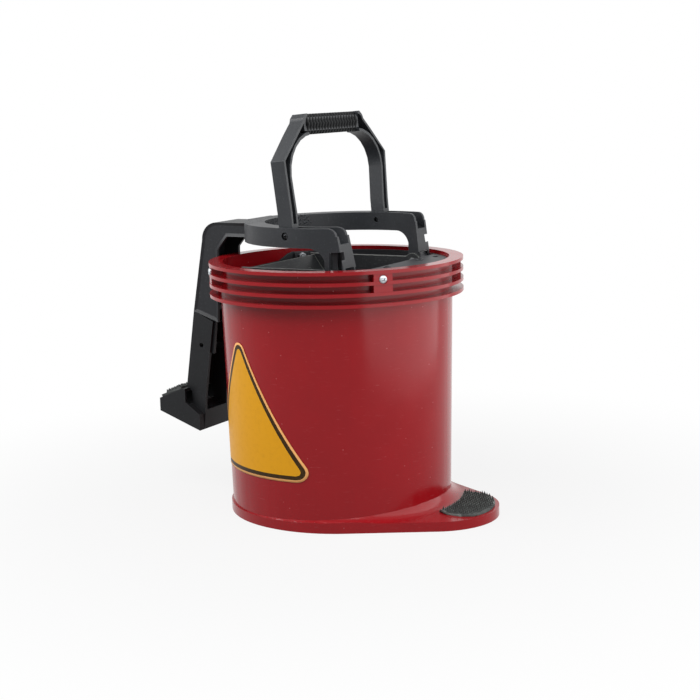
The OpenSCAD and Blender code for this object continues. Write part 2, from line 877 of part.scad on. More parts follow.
// Carry handle
module handle_outline(t = 0) {
  for (m = [0, 1]) mirror([m, 0]) polygon([
    [leg_out - t, -lobe_r],
    [leg_out - t, straight_h],
    [leg_out + leg_flare - t, leg_h],
    [grip_l / 2 + shoulder_l - t * 0.7, handle_h - shoulder_h - t * 0.7],
    [grip_l / 2 + end_l - t * 0.7, handle_h - end_h - t * 0.5],
    [grip_l / 2 + end_l - 2 - t * 0.7, handle_h - end_h / 2 - t * 0.7],
    [grip_l / 2 - t * 0.4, handle_h - t],
    [-eps, handle_h - t],
    [-eps, handle_h - grip_h + t],
    for (a = [90 : -15 : 0]) inner_bend(a, t),
    [leg_in + t, straight_h],
    [leg_in + t, -lobe_r]]);
}

// Points of the bend under the shoulder, from the grip to the leg.
function inner_bend(a, t) = [
  grip_l / 2 - bend_l + (leg_in + leg_flare - grip_l / 2 + bend_l + t) * cos(a),
  handle_h - grip_h - bend_h + (bend_h + t) * sin(a)];

module handle_side() {
  circle(r = lobe_r);
  polygon([
    [-lobe_r, 0],
    [lobe_r, 0],
    [leg_w / 2, taper_h],
    [leg_w / 2, far],
    [-leg_w / 2, far],
    [-leg_w / 2, taper_h]]);
}

module leaned() {
  translate([handle_x, 0, handle_z]) rotate([0, -handle_lean, 0]) children();
}

module carry_handle() {
  color(nylon) leaned() difference() {
    intersection() {
      translate([-far / 2, 0, 0]) rotate([90, 0, 90]) linear_extrude(far) handle_outline();
      along_y(far) handle_side();
    }
    // recess along the front of the legs and shoulders
    intersection() {
      translate([leg_w / 2 - leg_recess, 0, 0]) rotate([90, 0, 90]) linear_extrude(far) handle_outline(wall_leg);
      translate([-far, -far, lobe_r + 4]) cube([2 * far, 2 * far, far]);
    }
    // reduced bar that the grip is fitted on
    difference() {
      translate([-far, -rib_zone / 2, handle_h - grip_h - 5]) cube([2 * far, rib_zone, far]);
      translate([-grip_core_w / 2, -far, handle_h - grip_h / 2 - grip_core_h / 2])
        cube([grip_core_w, 2 * far, grip_core_h]);
    }
    rod_y(pivot_d + 2 * fit, -far, far, 0, 0);
  }
  color(nylon) leaned()
    translate([-grip_core_w / 2, -rib_zone / 2 - 4, handle_h - grip_h / 2 - grip_core_h / 2])
      cube([grip_core_w, rib_zone + 8, grip_core_h]);
}

module handle_grip() {
  gap = grip_gap;
  pitch = (rib_zone - rib_w) / (grip_ribs - 1);
  color(nylon_dark) leaned() translate([0, 0, handle_h - grip_h / 2]) difference() {
    union() {
      cube([leg_w - 4, rib_zone - 2 * gap, grip_h - 2 * rib_out], center = true);
      for (i = [0 : grip_ribs - 1])
        translate([0, (i - (grip_ribs - 1) / 2) * (pitch - 2 * gap / grip_ribs), 0])
          cube([leg_w - 4 + 2 * rib_out, rib_w - 2 * gap, grip_h], center = true);
    }
    cube([grip_core_w + 2 * gap, rib_zone + 1, grip_core_h + 2 * gap], center = true);
  }
}

module handle_pivot(s) {
  color("#55585c") {
    rod_y(pivot_d, min(s * pivot_in, s * pivot_seat), max(s * pivot_in, s * pivot_seat), handle_x, handle_z);
    rod_y(pivot_head_d, min(s * pivot_seat, s * (pivot_seat + pivot_head_h)),
      max(s * pivot_seat, s * (pivot_seat + pivot_head_h)), handle_x, handle_z);
  }
}

module handle_pivot_near() {
  handle_pivot(-1);
}

module handle_pivot_far() {
  handle_pivot(1);
}

bucket();
step_pad();
side_sticker();
wringer_ring();
ring_screws();
ring_nuts();
fixed_jaw();
jaw_screws();
fixed_axle();
fixed_roller();
yoke();
rear_arm();
arm_screws();
pedal_lever();
lever_bolt();
pedal_tread();
hinge_pin_near();
hinge_pin_far();
moving_jaw();
moving_axle();
moving_roller();
carry_handle();
handle_grip();
handle_pivot_near();
handle_pivot_far();
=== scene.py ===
import json
import math
import bmesh
import bpy
from mathutils import Matrix, Vector
from mathutils.bvhtree import BVHTree


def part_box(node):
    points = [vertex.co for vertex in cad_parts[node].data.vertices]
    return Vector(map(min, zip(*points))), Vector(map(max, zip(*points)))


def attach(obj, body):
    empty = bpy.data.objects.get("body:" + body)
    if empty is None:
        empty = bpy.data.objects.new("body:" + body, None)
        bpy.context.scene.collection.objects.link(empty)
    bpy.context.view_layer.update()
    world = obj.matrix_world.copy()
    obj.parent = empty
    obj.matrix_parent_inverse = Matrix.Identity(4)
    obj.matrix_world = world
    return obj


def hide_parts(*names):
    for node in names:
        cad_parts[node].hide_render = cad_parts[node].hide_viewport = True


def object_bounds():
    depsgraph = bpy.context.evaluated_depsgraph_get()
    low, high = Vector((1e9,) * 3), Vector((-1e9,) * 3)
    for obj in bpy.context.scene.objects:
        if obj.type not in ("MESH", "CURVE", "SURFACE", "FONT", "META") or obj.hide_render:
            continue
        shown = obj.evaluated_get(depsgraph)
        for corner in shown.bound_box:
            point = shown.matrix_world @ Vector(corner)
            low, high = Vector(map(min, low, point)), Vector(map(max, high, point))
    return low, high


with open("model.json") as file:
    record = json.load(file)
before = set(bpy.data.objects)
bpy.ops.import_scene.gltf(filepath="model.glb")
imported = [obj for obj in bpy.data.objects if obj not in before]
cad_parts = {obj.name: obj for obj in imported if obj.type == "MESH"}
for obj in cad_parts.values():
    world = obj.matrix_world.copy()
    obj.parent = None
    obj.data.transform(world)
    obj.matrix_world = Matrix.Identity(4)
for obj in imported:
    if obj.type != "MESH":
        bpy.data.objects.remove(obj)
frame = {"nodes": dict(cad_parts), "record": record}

cad_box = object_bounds()

# ---------------------------------------------------------------------------
# Studio: the camera stands low in front of the bucket's foot step and looks a
# little down. A white world, a pale floor and three softboxes light it, at the
# right, at the left and above.
MM = 0.001


def linear(code):
    """sRGB hex colour to the linear RGBA that a socket takes."""
    parts = [int(code[i:i + 2], 16) / 255 for i in (1, 3, 5)]
    return [c / 12.92 if c <= 0.04045 else ((c + 0.055) / 1.055) ** 2.4 for c in parts] + [1]


def add(tree, kind, sockets=None, **settings):
    """Adds a node with its settings. A socket takes a value or another node's output."""
    node = tree.nodes.new(kind)
    for name, value in settings.items():
        setattr(node, name, value)
    for name, value in (sockets or {}).items():
        if isinstance(value, bpy.types.NodeSocket):
            tree.links.new(value, node.inputs[name])
        else:
            node.inputs[name].default_value = value
    return node


def round_bucket(azimuth, reach, height):
    """Point beside the bucket, at an angle in degrees from its near side towards its step."""
    turn = math.radians(azimuth)
    return Vector((math.sin(turn) * reach, -math.cos(turn) * reach, height))


scene = bpy.context.scene
scene.view_settings.view_transform = "Standard"

camera_azimuth = 30
camera_reach = 1773.4 * MM
camera_height = 491.65 * MM
camera_pan = 0.44
camera_tilt = 9.82
camera_roll = 1.52
camera = bpy.data.objects.new("camera", bpy.data.cameras.new("camera"))
camera.data.lens = 78.33
camera.data.sensor_width = 36
camera.location = round_bucket(camera_azimuth, camera_reach, camera_height)
heading = Matrix.Rotation(math.radians(camera_azimuth - camera_pan), 3, "Z")
nod = Matrix.Rotation(math.radians(90 - camera_tilt), 3, "X")
roll = Matrix.Rotation(math.radians(-camera_roll), 3, "Z")
camera.rotation_euler = (heading @ nod @ roll).to_euler()
scene.collection.objects.link(camera)
scene.camera = camera


def seen_directly(tree):
    """1 for what the eye sees directly, in a reflection or through glass, otherwise 0."""
    ray = add(tree, "ShaderNodeLightPath")
    share = ray.outputs["Is Camera Ray"]
    for kind in ("Is Glossy Ray", "Is Transmission Ray"):
        share = add(tree, "ShaderNodeMath", {0: share, 1: ray.outputs[kind]},
                    operation="ADD", use_clamp=True).outputs[0]
    return share


world = bpy.data.worlds.new("white studio")
scene.world = world
world.use_nodes = True
sky = world.node_tree
sky.nodes.clear()
lit = add(sky, "ShaderNodeBackground", {"Color": linear("#f4f6f8"), "Strength": 0.4})
shown = add(sky, "ShaderNodeBackground", {"Color": linear("#ffffff"), "Strength": 1.0})
backdrop = add(sky, "ShaderNodeMixShader",
               {0: seen_directly(sky), 1: lit.outputs[0], 2: shown.outputs[0]})
add(sky, "ShaderNodeOutputWorld", {"Surface": backdrop.outputs[0]})

aim_height = 0.2


def softbox(name, azimuth, reach, height, size, power):
    """Area light, aimed at the middle of the bucket."""
    lamp = bpy.data.lights.new(name, "AREA")
    lamp.shape = "RECTANGLE"
    lamp.size, lamp.size_y = size
    lamp.energy = power
    holder = bpy.data.objects.new(name, lamp)
    holder.location = round_bucket(azimuth, reach, height)
    aim = Vector((0, 0, aim_height)) - holder.location
    holder.rotation_euler = aim.to_track_quat("-Z", "Y").to_euler()
    holder.visible_camera = False
    scene.collection.objects.link(holder)


softbox("softbox right", azimuth=98, reach=0.65, height=0.42, size=(1.5, 0.9), power=8.5)
softbox("softbox left", azimuth=-50, reach=1.0, height=0.95, size=(0.9, 0.9), power=15)
softbox("softbox top", azimuth=15, reach=1.1, height=1.75, size=(1.1, 1.1), power=19)


def blank(name):
    """A new material with an empty tree."""
    material = bpy.data.materials.new(name)
    material.use_nodes = True
    material.node_tree.nodes.clear()
    return material, material.node_tree


# Matt white studio floor: it keeps the soft shadow near the bucket and fades
# to the backdrop's white further out.
floor_half = 12
fade_start = 0.22
fade_end = 0.75
glow_near = 0.85
floor_paint, tree = blank("matt white floor")
place = add(tree, "ShaderNodeTexCoord")
reach = add(tree, "ShaderNodeVectorMath", {0: place.outputs["Object"]}, operation="LENGTH")
fade = add(tree, "ShaderNodeMapRange",
           {"Value": reach.outputs["Value"], "From Min": fade_start, "From Max": fade_end,
            "To Min": glow_near, "To Max": 1.0}, interpolation_type="SMOOTHSTEP")
share = add(tree, "ShaderNodeMath", {0: seen_directly(tree), 1: fade.outputs["Result"]},
            operation="MULTIPLY")
matt = add(tree, "ShaderNodeBsdfDiffuse", {"Color": linear("#a4a4a4")})
glow = add(tree, "ShaderNodeEmission", {"Color": linear("#ffffff"), "Strength": 1.0})
painted = add(tree, "ShaderNodeMixShader",
              {0: share.outputs[0], 1: matt.outputs[0], 2: glow.outputs[0]})
add(tree, "ShaderNodeOutputMaterial", {"Surface": painted.outputs[0]})

floor_mesh = bpy.data.meshes.new("floor")
floor_corners = [(x * floor_half, y * floor_half, 0)
                 for x, y in ((-1, -1), (1, -1), (1, 1), (-1, 1))]
floor_mesh.from_pydata(floor_corners, [], [(0, 1, 2, 3)])
floor_mesh.materials.append(floor_paint)
floor = bpy.data.objects.new("floor", floor_mesh)
floor.location.z = cad_box[0].z
scene.collection.objects.link(floor)

# ---------------------------------------------------------------------------
# Bucket: one injection moulding in red polypropylene, with the foot step, the
# ringed rim and the screw bosses in one piece. Its edges come out of the mould
# with a small radius.
bucket_red = "#820c13"
bucket_scuff = "#b06a6c"
flange_trim = 2.2
flange_top = 12
wall_foot = 131.5
trim_from = 70
trim_run = 90
flat_angle = 0.6
edge_angle = 28
body_of = {name: body for body, names in frame["record"]["behaviour"]["bodies"].items()
           for name in names}


def scuffed_polypropylene(name, colour, scuff, rough, level):
    """Satin polypropylene: a fine spark-eroded grain softens the gloss, the pigment clouds a
    little, and handling leaves short pale rub marks that follow the wall."""
    material, tree = blank(name)
    place = add(tree, "ShaderNodeTexCoord").outputs["Object"]
    # pigment clouds of about 30 mm
    cloud = add(tree, "ShaderNodeTexNoise",
                {"Vector": place, "Scale": 1 / (30 * MM), "Detail": 3.0}).outputs["Fac"]
    depth = add(tree, "ShaderNodeMapRange",
                {"Value": cloud, "To Min": 0.93, "To Max": 1.07}).outputs["Result"]
    base = add(tree, "ShaderNodeVectorMath", {0: linear(colour)[:3], "Scale": depth},
               operation="SCALE").outputs[0]
    # rub marks 12 mm long and 1.5 mm high
    rub_place = add(tree, "ShaderNodeMapping",
                    {"Vector": place, "Scale": (1 / (12 * MM), 1 / (12 * MM), 1 / (1.5 * MM))})
    rub = add(tree, "ShaderNodeTexNoise", {"Vector": rub_place.outputs[0], "Scale": 1.0,
                                           "Detail": 4.0, "Roughness": 0.6}).outputs["Fac"]
    rub = add(tree, "ShaderNodeMapRange", {"Value": rub, "From Min": 0.62, "From Max": 0.78,
                                           "To Min": 0.0, "To Max": 0.16}).outputs["Result"]
    # specks of grit, under 1 mm
    speck = add(tree, "ShaderNodeTexVoronoi",
                {"Vector": place, "Scale": 1 / (16 * MM)}).outputs["Distance"]
    speck = add(tree, "ShaderNodeMapRange", {"Value": speck, "From Min": 0.02, "From Max": 0.06,
                                             "To Min": 0.4, "To Max": 0.0}).outputs["Result"]
    mark = add(tree, "ShaderNodeMath", {0: rub, 1: speck}, operation="MAXIMUM").outputs[0]
    tint = add(tree, "ShaderNodeMix", {"Factor": mark, "A": base, "B": linear(scuff)[:3]},
               data_type="VECTOR")
    sheen = add(tree, "ShaderNodeMapRange", {"Value": cloud, "To Min": rough - 0.04,
                                             "To Max": rough + 0.04}).outputs["Result"]
    sheen = add(tree, "ShaderNodeMath", {0: sheen, 1: mark}, operation="ADD").outputs[0]
    # spark-eroded grain, drawn at 0.8 mm because the real 0.1 mm is too fine to show
    grain = add(tree, "ShaderNodeTexNoise",
                {"Vector": place, "Scale": 1 / (0.8 * MM), "Detail": 2.0}).outputs["Fac"]
    fine = add(tree, "ShaderNodeBump",
               {"Height": grain, "Strength": 0.12, "Distance": 0.2 * MM}).outputs[0]
    # slow sink of the moulded wall
    wave = add(tree, "ShaderNodeTexNoise",
               {"Vector": place, "Scale": 1 / (70 * MM), "Detail": 1.0}).outputs["Fac"]
    relief = add(tree, "ShaderNodeBump", {"Height": wave, "Strength": 0.25,
                                          "Distance": 1.2 * MM, "Normal": fine})
    surface = add(tree, "ShaderNodeBsdfPrincipled", {
        "Base Color": tint.outputs["Result"], "Roughness": sheen, "Normal": relief.outputs[0],
        "IOR": 1.49, "Specular IOR Level": level})
    add(tree, "ShaderNodeOutputMaterial", {"Surface": surface.outputs[0]})
    return material


def merged_copy(node):
    """Shape of a CAD node with its loose triangles joined and no finish of its own."""
    shape = bmesh.new()
    shape.from_mesh(frame["nodes"][node].data)
    bmesh.ops.remove_doubles(shape, verts=shape.verts, dist=0.02 * MM)
    for face in shape.faces:
        face.material_index = 0
    return shape


def smooth_mesh(shape, name, materials=(), sharp=None):
    """Smooth mesh of a shape, with its edges past the sharp angle, in degrees, kept hard."""
    mesh = bpy.data.meshes.new(name)
    shape.to_mesh(mesh)
    shape.free()
    for material in materials:
        mesh.materials.append(material)
    mesh.shade_smooth()
    if sharp:
        mesh.set_sharp_from_angle(angle=math.radians(sharp))
    return mesh


def fit_piece(piece, node):
    """Puts a piece in the scene: it rides on the node's body and stands for the node."""
    scene.collection.objects.link(piece)
    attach(piece, body_of[node])
    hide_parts(node)


def moulded(node, material, edge, trim=None, panel=None):
    """Copy of a CAD node with flat faces merged and edges rounded to the edge's radius.
    A trim moves single vertices. A panel is the width of the raised border round the outer
    cheeks, and how far the cheeks sink inside it."""
    shape = merged_copy(node)
    bmesh.ops.dissolve_limit(shape, angle_limit=math.radians(flat_angle), verts=shape.verts,
                             edges=shape.edges)
    if trim:
        for vert in shape.verts:
            vert.co = trim(vert.co.copy())
    if panel:
        border, sink = panel
        shape.normal_update()
        for side in (-1, 1):
            outer = max(v.co.y * side for v in shape.verts)
            cheek = [f for f in shape.faces if f.normal.y * side > 0.999
                     and f.calc_center_median().y * side > outer - 0.05 * MM]
            bmesh.ops.inset_region(shape, faces=cheek, thickness=border * MM, depth=-sink * MM,
                                   use_even_offset=True, use_boundary=True)
    piece = bpy.data.objects.new(node + "_moulding",
                                 smooth_mesh(shape, node + "_shape", [material]))
    bevel = piece.modifiers.new("rounded edges", "BEVEL")
    bevel.width = edge * MM
    bevel.segments = 3
    bevel.limit_method = "ANGLE"
    bevel.angle_limit = math.radians(edge_angle)
    bevel.use_clamp_overlap = True
    flat = piece.modifiers.new("flat faces", "WEIGHTED_NORMAL")
    flat.keep_sharp = True
    fit_piece(piece, node)


def slim_flange(point):
    """The foot flange is slimmer away from the step than its solid."""
    reach = point.xy.length
    if reach < wall_foot * MM or point.z > flange_top * MM:
        return point
    share = min(max((trim_from * MM - point.x) / (trim_run * MM), 0), 1)
    drawn_in = min(flange_trim * MM, reach - wall_foot * MM) * share
    point.xy *= (reach - drawn_in) / reach
    return point


red_polypropylene = scuffed_polypropylene("red polypropylene", bucket_red, bucket_scuff,
                                          rough=0.17, level=0.22)
moulded("bucket", red_polypropylene, edge=1.1, trim=slim_flange)

# ---------------------------------------------------------------------------
# Step pad: a soft pad of black thermoplastic rubber, bonded into the step, with
# a dense field of pointed studs for a wet shoe. Pad and studs are moulded in one.
stud_sizes = (0.85, 1.06)


def moulded_rubber(name, colour, dust):
    """Matt thermoplastic rubber: no gloss, a dry bloom on it that is paler in patches."""
    material, tree = blank(name)
    place = add(tree, "ShaderNodeTexCoord").outputs["Object"]
    bloom = add(tree, "ShaderNodeTexNoise",
                {"Vector": place, "Scale": 1 / (9 * MM), "Detail": 4.0}).outputs["Fac"]
    dusty = add(tree, "ShaderNodeMapRange", {"Value": bloom, "From Min": 0.42, "From Max": 0.7,
                                             "To Min": 0.0, "To Max": 0.5}).outputs["Result"]
    tint = add(tree, "ShaderNodeMix", {"Factor": dusty, "A": linear(colour)[:3],
                                       "B": linear(dust)[:3]}, data_type="VECTOR")
    dry = add(tree, "ShaderNodeMapRange",
              {"Value": bloom, "To Min": 0.55, "To Max": 0.75}).outputs["Result"]
    # grit of the mould's texture, 0.7 mm
    grit = add(tree, "ShaderNodeTexNoise",
               {"Vector": place, "Scale": 1 / (0.7 * MM), "Detail": 2.0}).outputs["Fac"]
    relief = add(tree, "ShaderNodeBump", {"Height": grit, "Strength": 0.35, "Distance": 0.2 * MM})
    surface = add(tree, "ShaderNodeBsdfPrincipled", {
        "Base Color": tint.outputs["Result"], "Roughness": dry, "Normal": relief.outputs[0],
        "IOR": 1.5, "Specular IOR Level": 0.3})
    add(tree, "ShaderNodeOutputMaterial", {"Surface": surface.outputs[0]})
    return material


# Sets one small piece on every point of a carrier mesh, turned along the
# point's own direction, each a little larger or smaller than the next.
repeat_tree = bpy.data.node_groups.new("repeated piece", "GeometryNodeTree")
for name, kind in (("Places", "Geometry"), ("Piece", "Object"), ("Material", "Material"),
                   ("Smallest", "Float"), ("Largest", "Float"), ("Seed", "Int")):
    repeat_tree.interface.new_socket(name, in_out="INPUT", socket_type="NodeSocket" + kind)
repeat_tree.interface.new_socket("Result", in_out="OUTPUT", socket_type="NodeSocketGeometry")
given = add(repeat_tree, "NodeGroupInput").outputs
unit = add(repeat_tree, "GeometryNodeObjectInfo", {"Object": given["Piece"]}).outputs["Geometry"]
points = add(repeat_tree, "GeometryNodeMeshToPoints", {"Mesh": given["Places"]}).outputs[0]
way = add(repeat_tree, "GeometryNodeInputNamedAttribute", {"Name": "way"},
          data_type="FLOAT_VECTOR").outputs["Attribute"]
turned = add(repeat_tree, "FunctionNodeAlignRotationToVector", {"Vector": way},
             axis="Z").outputs[0]
# the range of decimals is the third and fourth socket of this node, and its result the second
amount = add(repeat_tree, "FunctionNodeRandomValue",
             {2: given["Smallest"], 3: given["Largest"], "Seed": given["Seed"]},
             data_type="FLOAT").outputs[1]
set_down = add(repeat_tree, "GeometryNodeInstanceOnPoints",
               {"Points": points, "Instance": unit, "Rotation": turned, "Scale": amount})
real = add(repeat_tree, "GeometryNodeRealizeInstances", {"Geometry": set_down.outputs[0]})
coated = add(repeat_tree, "GeometryNodeSetMaterial",
             {"Geometry": real.outputs[0], "Material": given["Material"]})
add(repeat_tree, "NodeGroupOutput", {"Result": coated.outputs[0]})


def repeated(name, unit, places, material, sizes=(1.0, 1.0), seed=0):
    """Mesh with the unit set on each place, a pair of point and direction."""
    carrier_mesh = bpy.data.meshes.new(name + " places")
    carrier_mesh.from_pydata([tuple(point) for point, way in places], [], [])
    ways = carrier_mesh.attributes.new("way", "FLOAT_VECTOR", "POINT")
    for value, (point, way) in zip(ways.data, places):
        value.vector = way
    unit_object = bpy.data.objects.new(name + " unit", unit)
    carrier = bpy.data.objects.new(name, carrier_mesh)
    for item in (unit_object, carrier):
        scene.collection.objects.link(item)
    repeat = carrier.modifiers.new("repeat", "NODES")
    repeat.node_group = repeat_tree
    inputs = {item.name: item.identifier for item in repeat_tree.interface.items_tree
              if item.in_out == "INPUT"}
    for key, value in (("Piece", unit_object), ("Material", material), ("Smallest", sizes[0]),
                       ("Largest", sizes[1]), ("Seed", seed)):
        repeat[inputs[key]] = value
    bpy.context.view_layer.update()
    ready = carrier.evaluated_get(bpy.context.evaluated_depsgraph_get())
    mesh = bpy.data.meshes.new_from_object(ready)
    mesh.name = name
    for item in (unit_object, carrier):
        bpy.data.objects.remove(item)
    return mesh


def bands(shape, rows):
    """The faces between each closed row of vertices and the next, in one list a band."""
    return [[shape.faces.new((low[k], low[(k + 1) % len(low)], high[(k + 1) % len(low)], high[k]))
             for k in range(len(low))] for low, high in zip(rows, rows[1:])]


def stud_mesh(radius, height, sides=8):
    """A cone with a small rounded point and a skirt sunk in the pad, as it stands on a flat
    pad."""
    profile = [(radius * 1.12, -0.6), (radius, 0.3), (radius * 0.62, height * 0.45),
               (radius * 0.3, height * 0.85), (radius * 0.12, height)]
    shape = bmesh.new()
    rows = []
    for r, z in profile:
        rows.append([shape.verts.new((r * MM * math.cos(math.tau * k / sides),
                                      r * MM * math.sin(math.tau * k / sides), z * MM))
                     for k in range(sides)])
    bands(shape, rows)
    shape.faces.new(rows[-1])
    return smooth_mesh(shape, "stud")


def cut_off(shape, point, way):
    """Cuts off what lies beyond the point and closes the cut."""
    cut = bmesh.ops.bisect_plane(shape, geom=shape.verts[:] + shape.edges[:] + shape.faces[:],
                                 plane_co=point, plane_no=way, clear_outer=True)
    bmesh.ops.edgeloop_fill(shape, edges=[e for e in cut["geom_cut"]
                                          if isinstance(e, bmesh.types.BMEdge)])


def top_face(solid):
    """Direction of a pad's largest upper face, and its height along that direction."""
    areas = {}
    for face in solid.polygons:
        if face.normal.z > 0.5:
            key = tuple(round(v, 2) for v in face.normal)
            areas[key] = areas.get(key, 0) + face.area
    out = Vector(max(areas, key=areas.get)).normalized()
    levels = {}
    for face in solid.polygons:
        if face.normal.dot(out) > 0.999:
            key = round(face.center.dot(out), 4)
            levels[key] = levels.get(key, 0) + face.area
    return out, max(levels, key=levels.get)


def studded_pad(node, pad_material, stud_material, stud, pitch, margin, seed, cuts=()):
    """The pad of a CAD node, cut a hair under its top face, with a staggered field of studs
    on it. A stud is its radius and height, the margin keeps the field inside the pad's edge,
    and each cut is a point and the way beyond which the pad ends."""
    solid = frame["nodes"][node].data
    out, height = top_face(solid)
    across = Vector((0, 1, 0))
    along = across.cross(out).normalized()
    skin = BVHTree.FromPolygons([v.co for v in solid.vertices],
                                [tuple(f.vertices) for f in solid.polygons])

    def on_top(point):
        hit = skin.ray_cast(point + out * 50 * MM, -out)[0]
        return (hit is not None and hit.dot(out) > height - 0.1 * MM
                and all((point - end).dot(way) < 0 for end, way in cuts))

    corners = [Vector(v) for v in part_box(node)]
    middle = (corners[0] + corners[1]) / 2
    start = middle + out * (height - middle.dot(out))
    reach = int((corners[1] - corners[0]).length / pitch / MM / 2) + 1
    # rows stand closer than the studs in a row, as the field is staggered
    row_step = pitch * MM * 0.87
    places = []
    for i in range(-reach, reach + 1):
        for j in range(-reach, reach + 1):
            point = start + along * (i * row_step) + across * ((j + (i % 2) / 2) * pitch * MM)
            foot = [point + (along * math.cos(a) + across * math.sin(a)) * margin * MM
                    for a in (0, math.pi / 2, math.pi, 3 * math.pi / 2)]
            if all(on_top(p) for p in [point] + foot):
                places.append((point, out))
    field = repeated(node + "_studs", stud_mesh(*stud), places, stud_material,
                     sizes=stud_sizes, seed=seed)
    shape = merged_copy(node)
    cut_off(shape, out * (height - 0.05 * MM), out)
    for end, way in cuts:
        cut_off(shape, end, way)
    bmesh.ops.triangulate(shape, faces=[f for f in shape.faces if len(f.verts) > 4])
    pad_faces = len(shape.faces)
    shape.from_mesh(field)
    shape.faces.ensure_lookup_table()
    for face in shape.faces[pad_faces:]:
        face.material_index = 1
    name = node + "_studded"
    mesh = smooth_mesh(shape, name, [pad_material, stud_material], sharp=38)
    fit_piece(bpy.data.objects.new(name, mesh), node)


pad_rubber = moulded_rubber("dusty thermoplastic rubber", "#525654", "#7c807c")
stud_rubber = moulded_rubber("black thermoplastic rubber", "#2c2e2d", "#4b4e4c")
# the pad's near end stops short of the step's own, where the flange narrows, with two
# clipped corners: each row is a point of the cut and the way that it faces
pad_cuts = [(Vector((x * MM, y * MM, 0)), Vector((u, v, 0)).normalized())
            for x, y, u, v in ((160, -35, 0, -1), (152, -33, -0.5, -0.85), (176, -34, 0.45, -0.9))]
studded_pad("step_pad", pad_rubber, stud_rubber, stud=(1.35, 4.3), pitch=4.8,
            margin=1.6, seed=3, cuts=pad_cuts)

# ---------------------------------------------------------------------------
# Sticker: a plain yellow vinyl triangle with rounded corners, a dark printed
# border and a thin pale edge, stuck on the wall's near side, a little towards
# the pedal.
sticker_side = 190
sticker_round = 12
sticker_pale = 2.6
sticker_dark = 4.6
film_thick = 0.25
film_rings = 16
wall_points = [v.co for v in frame["nodes"]["side_sticker"].data.vertices]
sticker_low, sticker_high = (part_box("side_sticker")[k][2] for k in (0, 1))
foot_points = [p for p in wall_points if p.z < sticker_low + 0.1 * MM]
head_points = [p for p in wall_points if p.z > sticker_high - 0.1 * MM]
foot_radius = max(p.xy.length for p in foot_points)
head_radius = max(p.xy.length for p in head_points)
facing = sum((p.xy for p in head_points), Vector((0, 0))).normalized()
sideways = Vector((-facing.y, facing.x))


def sticker_outline(inset):
    """Rounded triangle standing on its lower side, as pairs of sideways and upward
    millimetres, about 4 mm apart."""
    half = sticker_side / 2
    tall = sticker_side * math.sqrt(3) / 2
    r = sticker_round
    centres = [(half - r * math.sqrt(3), r), (0, tall - 2 * r), (-half + r * math.sqrt(3), r)]
    corner = [(c[0] + (r - inset) * math.cos(math.radians(a + 120 * k)),
               c[1] + (r - inset) * math.sin(math.radians(a + 120 * k)))
              for k, c in enumerate(centres) for a in range(-90, 31, 15)]
    points = []
    for a, b in zip(corner, corner[1:] + corner[:1]):
        steps = max(1, round(math.dist(a, b) / 4))
        points += [(a[0] + (b[0] - a[0]) * k / steps, a[1] + (b[1] - a[1]) * k / steps)
                   for k in range(steps)]
    return points


def even(points, count):
    """So many points on an outline, at equal shares of its length."""
    total = [0]
    for a, b in zip(points, points[1:] + points[:1]):
        total.append(total[-1] + math.dist(a, b))
    closed = points + points[:1]
    result = []
    k = 0
    for n in range(count):
        want = total[-1] * n / count
        while total[k + 1] < want:
            k += 1
        t = (want - total[k]) / max(total[k + 1] - total[k], 1e-9)
        result.append(tuple(closed[k][i] + (closed[k + 1][i] - closed[k][i]) * t for i in (0, 1)))
    return result


def on_wall(u, v):
    """Point a hair off the bucket's wall, u sideways and v above the sticker's foot."""
    z = sticker_low + v * MM
    share = (z - sticker_low) / (sticker_high - sticker_low)
    radius = foot_radius + (head_radius - foot_radius) * share + 0.02 * MM
    depth = math.sqrt(radius ** 2 - (u * MM) ** 2)
    flat = facing * depth + sideways * u * MM
    return (flat.x, flat.y, z)


def printed_vinyl(name, colour, worn, rough):
    """Calendered vinyl film under a clear laminate: even colour, a soft gloss with a faint
    orange peel, and ink that has rubbed a little thin."""
    material, tree = blank(name)
    place = add(tree, "ShaderNodeTexCoord").outputs["Object"]
    # rubbed patches of about 6 mm
    rub = add(tree, "ShaderNodeTexNoise", {"Vector": place, "Scale": 1 / (6 * MM),
                                           "Detail": 5.0, "Roughness": 0.65}).outputs["Fac"]
    thin = add(tree, "ShaderNodeMapRange", {"Value": rub, "From Min": 0.5, "From Max": 0.78,
                                            "To Min": 0.0, "To Max": 0.5}).outputs["Result"]
    tint = add(tree, "ShaderNodeMix", {"Factor": thin, "A": linear(colour)[:3],
                                       "B": linear(worn)[:3]}, data_type="VECTOR")
    sheen = add(tree, "ShaderNodeMapRange", {"Value": rub, "To Min": rough - 0.05,
                                             "To Max": rough + 0.1}).outputs["Result"]
    # orange peel of the laminate, 1.5 mm
    peel = add(tree, "ShaderNodeTexNoise",
               {"Vector": place, "Scale": 1 / (1.5 * MM), "Detail": 1.0}).outputs["Fac"]
    relief = add(tree, "ShaderNodeBump", {"Height": peel, "Strength": 0.08, "Distance": 0.1 * MM})
    surface = add(tree, "ShaderNodeBsdfPrincipled", {
        "Base Color": tint.outputs["Result"], "Roughness": sheen, "Normal": relief.outputs[0],
        "IOR": 1.5, "Specular IOR Level": 0.14})
    add(tree, "ShaderNodeOutputMaterial", {"Surface": surface.outputs[0]})
    return material


outlines = [sticker_outline(inset) for inset in (0, sticker_pale, sticker_pale + sticker_dark)]
outline_count = min(len(outline) for outline in outlines)
film_rows = [even(outline, outline_count) for outline in outlines]
film_middle = (0, sticker_side * math.sqrt(3) / 6)
for k in range(1, film_rings):
    film_rows.append([tuple(film_middle[i] + (p[i] - film_middle[i]) * (1 - k / film_rings)
                            for i in (0, 1)) for p in film_rows[2]])
shape = bmesh.new()
rows = [[shape.verts.new(on_wall(u, v)) for u, v in row] for row in film_rows]
centre = shape.verts.new(on_wall(*film_middle))
